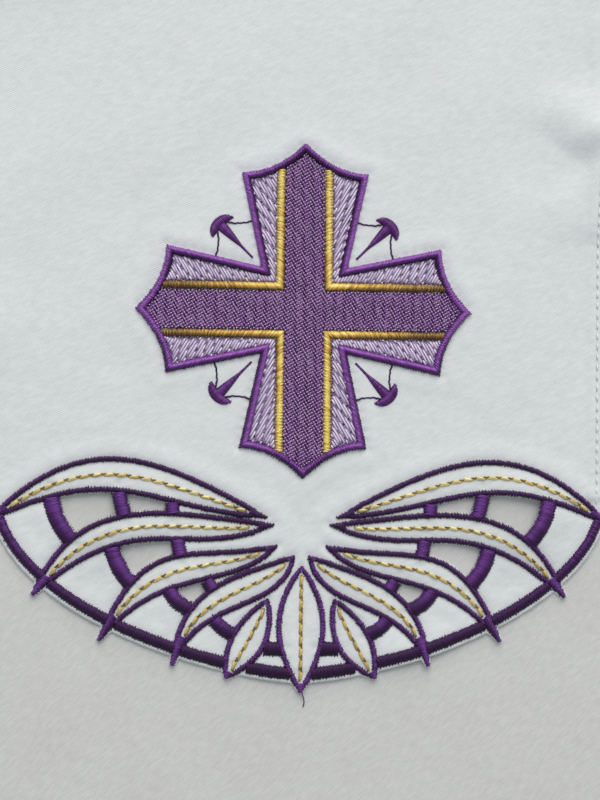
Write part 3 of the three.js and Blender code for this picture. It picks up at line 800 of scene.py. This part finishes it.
# A vein is a chain of pale stitches, each on a slant beside the next, with a short dark one over each joint, a painted
# shadow between them
veins = {"stitch": 3.5, "room": 1.5, "litAlongY": 0.6, "thick": 0.24, "rings": 7, "square": 4, "strands": [
    {"from": 0, "gap": -0.5, "high": 0.48, "half": 0.42, "slew": 0.22, "beside": -0.12, "shades": (0.5, 1.05)},
    {"from": 0, "gap": 0.6, "high": 0.6, "half": 0.34, "slew": 0.34, "beside": 0.1, "shades": (0.7, 1.15)},
    {"from": 0.5, "gap": 1.8, "high": 0.7, "half": 0.2, "slew": 0.12, "beside": 0.22, "shades": (0.0, 0.25)},
]}


# A vein runs along the middle for as long as the bare cloth is wide enough
def veinLine(leaf):
    upper, lower = leafLines(leaf)
    wide = np.flatnonzero(np.hypot(*(upper - lower).T) > 2 * leafSatin["half"] + leaf.get("room", veins["room"]))
    return ((upper + lower) / 2)[wide[0]: wide[-1]]


for side, mirror in sides.items():
    parts = []
    for name, leaf in leaves.items():
        if name == "leaf_centre" and mirror:
            continue
        line = veinLine(leaf)
        run = lengths(line)
        for strand in veins["strands"]:
            short = strand["from"] * veins["stitch"]
            part = readAt(line, run, np.linspace(short, run[-1] - short, 200))
            sewn = runThreads(part, veins["stitch"], strand["gap"], strand["high"], strand["half"], veins["thick"],
                              veins["rings"], strand["slew"], strand["beside"], strand["shades"], veins["square"],
                              veins["litAlongY"])
            parts.append(onLift(sewn, mirror))
    sewPiece(f"vein_stitches_{side}", parts, "paleGold", "gold_thread")

# Two thin threads tie each nail's head to the borders of the arms beside it
ties = {"headPoint": (22.6, 25.3), "armPoint": (14.9, 25.9), "sag": (0.2, -1.1), "waver": 0.2, "stitch": 1.1,
        "gap": -0.5, "high": 0.3, "half": 0.27, "thick": 0.2, "square": 8, "shades": (0.05, 0.3)}
for name, signs in quarters.items():
    parts = []
    for swap in (False, True):
        a, b = np.array(ties["headPoint"]), np.array(ties["armPoint"])
        bend = (a + b) / 2 + np.array(ties["sag"])
        line = bezier((a, bend, b), 100)
        line[:, 1] += ties["waver"] * np.sin(np.linspace(0, 5 * np.pi, 100))
        if swap:
            line = line[:, ::-1]
        parts.append(runThreads(line * signs, ties["stitch"], ties["gap"], ties["high"], ties["half"], ties["thick"],
                                shades=ties["shades"], squareness=ties["square"]))
    sewPiece(f"tie_threads_{name}", parts, "purpleSatin", "purple_satin")

# One loose end of purple thread hangs from the centre leaf's tip and lies on the surface
looseEnd = {"half": 0.15, "tone": 0.4, "points": [
    (0.3, -109.6, 1.3), (0.7, -111.2, 0.8), (1.3, -112.4, 0.35), (1.2, -113.6, 0.2), (0.9, -114.5, 0.2),
]}


def addLooseEnd():
    curve = bpy.data.curves.new("loose_end", "CURVE")
    curve.dimensions = "3D"
    curve.bevel_depth = looseEnd["half"] * mm
    curve.use_fill_caps = True
    spline = curve.splines.new("NURBS")
    spline.points.add(len(looseEnd["points"]) - 1)
    for point, place in zip(spline.points, looseEnd["points"]):
        point.co = (*(value * mm for value in place), 1)
    spline.use_endpoint_u = True
    rope = addObject("loose_end_curve", curve)
    mesh = bpy.data.meshes.new_from_object(rope.evaluated_get(bpy.context.evaluated_depsgraph_get()))
    bpy.data.objects.remove(rope)
    shade = mesh.attributes.new("tone", "FLOAT", "POINT")
    shade.data.foreach_set("value", np.full(len(mesh.vertices), looseEnd["tone"], np.float32))
    piece = addObject("loose_end", mesh)
    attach(piece, "root")
    finished(piece, "purpleSatin", "purple_satin")


addLooseEnd()

# The hem's stitch lines
hemSewing = {"stitch": 3.0, "gap": 1.1, "leftLine": -90.1, "rightLine": 86.2, "rightWander": 1.7,
             "wanderFrom": 22, "wanderTo": 66, "topLine": 103.8, "below": 2.5, "high": 0.22, "half": 0.26,
             "thick": 0.2}
low, high = cloth["hemEnd"] - hemSewing["below"], hemSewing["topLine"]


# The right hem is sewn a little further out along its upper half
def rightHem(y):
    wander = smoothStep(y, hemSewing["wanderFrom"], hemSewing["wanderTo"])
    return hemSewing["rightLine"] + hemSewing["rightWander"] * wander


upward = np.linspace(low, high, 200)
hemLines = [
    np.stack([rightHem(upward), upward], axis=1),
    np.linspace((hemSewing["leftLine"], low), (hemSewing["leftLine"], high), 200),
    np.linspace((hemSewing["leftLine"], high), (rightHem(high), high), 200),
]
hemLooks = [hemSewing[value] for value in ("stitch", "gap", "high", "half", "thick")]
sewPiece("hem_stitches", [runThreads(line, *hemLooks) for line in hemLines], "whiteThread", "white_twill")
print("running stitches sewn")


# The cloth's outline and openings are read from its solid's underside
def clothLoops():
    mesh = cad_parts["cloth"].data
    points = np.array([vertex.co for vertex in mesh.vertices]) / mm
    keys, index = np.unique(np.round(points, 2), axis=0, return_inverse=True)
    index = index.reshape(-1)
    following = {}
    edges = set()
    for face in mesh.polygons:
        if face.normal.z < -0.8:
            corners = [int(index[v]) for v in face.vertices]
            edges.update(zip(corners, corners[1:] + corners[:1]))
    for a, b in edges:
        if (b, a) not in edges:
            following[a] = b
    loops = []
    while following:
        first, here = following.popitem()
        loop = [first]
        while here != first:
            loop.append(here)
            here = following.pop(here)
        loops.append(keys[loop][:, :2])
    loops.sort(key=lambda loop: -len(loop) if np.ptp(loop[:, 0]) > 100 else 0)
    return loops


def resampled(loop, spacing):
    out = []
    for a, b in zip(loop, np.roll(loop, -1, axis=0)):
        count = max(1, int(math.ceil(np.hypot(*(b - a)) / spacing)))
        out += [a + (b - a) * k / count for k in range(count)]
    return np.array(out)


def hexGrid(spacing):
    xs = np.arange(-cloth["halfWidth"] - 1, cloth["halfWidth"] + 1, spacing)
    ys = np.arange(-cloth["top"] - 1, cloth["top"] + 1, spacing * 0.87)
    grid = np.array([(x + (spacing / 2 if j % 2 else 0), y) for j, y in enumerate(ys) for x in xs])
    return grid + chance.uniform(-0.12, 0.12, grid.shape) * spacing


def treeOf(points):
    tree = kdtree.KDTree(len(points))
    for i, (x, y) in enumerate(points):
        tree.insert((x, y, 0), i)
    tree.balance()
    return tree


def distances(tree, points):
    return np.array([tree.find((x, y, 0))[2] for x, y in points])


# Points along the lines where the sewing pulls the cloth down
def sewnLines():
    spots = []
    for leaf in leaves.values():
        for line in leafLines(leaf):
            spots.append(evenly(line, 120))
            spots.append(mirrored(evenly(line, 120)))
    spots += [evenly(bandLine, 160), mirrored(evenly(bandLine, 160))]
    for bar in bars.values():
        line = bezier((bar["start"], bar["bend"], bar["end"]), 12)
        spots += [line, mirrored(line)]
    for line in (outerSide[::6], outerEnd[::6], innerSide[::6], innerEnd[::6]):
        for flip in (1, -1):
            spots += quarterTurns(line * (flip, 1))
    return np.concatenate(spots)


# How far a place is from the nearest of the hem's stitch lines, which dip into the cloth
def hemDips(x, y):
    across = np.minimum(np.abs(x - rightHem(y)), np.abs(x - hemSewing["leftLine"]))
    across = np.where(y < cloth["hemEnd"] - 3, 9, across)
    return np.minimum(across, np.abs(y - hemSewing["topLine"]))


# Inside the outer edge and in none of the openings
def onCloth(places, loops):
    inside = insidePolygon(places, loops[0])
    for loop in loops[1:]:
        inside &= ~insidePolygon(places, loop)
    return inside


# A little cloth shows beyond the edge band, where it was cut away
def withRim(loop):
    turned = np.roll(loop, 1, axis=0) - np.roll(loop, -1, axis=0)
    outward = np.stack([-turned[:, 1], turned[:, 0]], axis=1) / np.maximum(1e-6, np.hypot(*turned.T))[:, None]
    x, y = loop.T
    if np.sum(x * np.roll(y, -1) - y * np.roll(x, -1)) < 0:
        outward = -outward
    bands = treeOf(np.concatenate([bandLine, mirrored(bandLine)]))
    share = 1 - smoothStep(distances(bands, loop), cloth["rimFull"], cloth["rimFrom"])
    return loop + outward * (cloth["rim"] * share)[:, None]


# The face's relief beside the sewing, under the cross, along the cut edges and along the hem's stitch lines: its
# height, the distance where it is greatest and how far it reaches
relief = {
    "puff": {"height": 0.28, "away": 3.2, "reach": 2.4},
    "sewn": {"height": -0.22, "away": 0, "reach": 1.1},
    "edge": {"height": -0.35, "away": 0, "reach": 0.5},
    "seam": {"height": -0.3, "away": 0, "reach": 0.55},
}
clothMesh = {"outerStep": 1.1, "holeStep": 0.7, "edgeRoom": 0.35, "seamReach": 1.5, "underCross": -0.2,
             "thinnest": 0.35, "sliver": 1e-7}


def reliefAt(name, distance):
    form = relief[name]
    return form["height"] * np.exp(-((distance - form["away"]) / form["reach"]) ** 2)


# The cloth's sheet: its face, its underside and the walls between them along every edge
def makeCloth():
    loops = clothLoops()
    loops[0] = withRim(resampled(loops[0], clothMesh["outerStep"]))
    border = [loops[0]] + [resampled(loop, clothMesh["holeStep"]) for loop in loops[1:]]
    rim = treeOf(np.concatenate(border))
    sewn = treeOf(sewnLines())
    coarse = hexGrid(cloth["spacing"])
    fine = hexGrid(cloth["fineSpacing"])
    seamReach = clothMesh["seamReach"]
    coarse = coarse[(distances(sewn, coarse) >= cloth["fineReach"]) & (hemDips(*coarse.T) > seamReach)]
    fine = fine[(distances(sewn, fine) < cloth["fineReach"]) | (hemDips(*fine.T) <= seamReach)]
    inner = np.concatenate([coarse, fine])
    inner = inner[onCloth(inner, loops)]
    inner = inner[distances(rim, inner) > clothMesh["edgeRoom"]]
    edges, flat, first = [], [], 0
    for loop in border:
        flat.append(loop)
        edges += [(first + i, first + (i + 1) % len(loop)) for i in range(len(loop))]
        first += len(loop)
    flat = np.concatenate(flat + [inner])
    made = geometry.delaunay_2d_cdt([Vector(p) for p in flat], edges, [], 0, 1e-5)
    points = np.array([(p.x, p.y) for p in made[0]])
    triangles = np.array([face for face in made[2]])
    triangles = triangles[onCloth(points[triangles].mean(axis=1), loops)]
    a, b, c = (points[triangles[:, k]] for k in range(3))
    turn = (b - a)[:, 0] * (c - a)[:, 1] - (b - a)[:, 1] * (c - a)[:, 0]
    whole = np.abs(turn) > clothMesh["sliver"]
    triangles, turn = triangles[whole], turn[whole]
    triangles[turn < 0] = triangles[turn < 0][:, ::-1]
    x, y = points[:, 0], points[:, 1]
    near = distances(sewn, points)
    puff = reliefAt("puff", near) + reliefAt("sewn", near)
    puff[insidePolygon(points, np.concatenate(quarterTurns(crossOutline)))] = clothMesh["underCross"]
    top = faceHeight(x, y) + puff + reliefAt("edge", distances(rim, points)) + reliefAt("seam", hemDips(x, y))
    under = np.clip(ground(x, y), 0, top - clothMesh["thinnest"])
    count = len(points)
    directed = set()
    for t in triangles.tolist():
        directed.update(((t[0], t[1]), (t[1], t[2]), (t[2], t[0])))
    walls = [(a, b) for a, b in directed if (b, a) not in directed]
    mesh = bpy.data.meshes.new("cloth_twill")
    vertices = np.concatenate([np.stack([x, y, top], axis=1), np.stack([x, y, under], axis=1)]) * mm
    faces = triangles.tolist()
    faces += (triangles[:, ::-1] + count).tolist()
    faces += [(b, a, a + count, b + count) for a, b in walls]
    mesh.from_pydata(vertices.tolist(), [], faces)
    mesh.update()
    piece = addObject("cloth_twill", mesh)
    for face in mesh.polygons:
        face.use_smooth = len(face.vertices) == 3
    area = float(np.abs(turn).sum() / 2) * mm * mm
    return piece, area


clothPiece, clothArea = makeCloth()
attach(clothPiece, "root")
finished(clothPiece, "whiteTwill", "white_twill", "cloth")
print("cloth laid", len(clothPiece.data.polygons), "faces, area", round(clothArea, 5))

# The surface and the light, which comes from beyond the top hem
studio = {
    "surfaceSize": 6,
    "window": {"place": (0.21, 2.8, 2.1), "size": 3.5, "power": 123.0, "colour": (1.0, 0.985, 0.965)},
    "sky": {"colour": (0.86, 0.92, 1.0, 1), "strength": 0.43},
}


def makeSurface():
    bpy.ops.object.select_all(action="DESELECT")
    bpy.ops.mesh.primitive_plane_add(size=studio["surfaceSize"], location=(0, 0, 0))
    surface = bpy.context.object
    surface.name = "surface"
    surface.data.materials.append(materials["surfaceTwill"])


def makeLight():
    window = studio["window"]
    light = bpy.data.lights.new("window", "AREA")
    light.size = window["size"]
    light.energy = window["power"]
    light.color = window["colour"]
    lamp = addObject("window", light)
    lamp.location = window["place"]
    lamp.rotation_euler = (-Vector(window["place"])).to_track_quat("-Z", "Y").to_euler()
    world = bpy.data.worlds.new("room")
    world.use_nodes = True
    setInputs(world.node_tree.nodes["Background"], Color=studio["sky"]["colour"], Strength=studio["sky"]["strength"])
    bpy.context.scene.world = world
    bpy.context.scene.view_settings.view_transform = "Standard"


makeSurface()
makeLight()
print("surface and light placed")
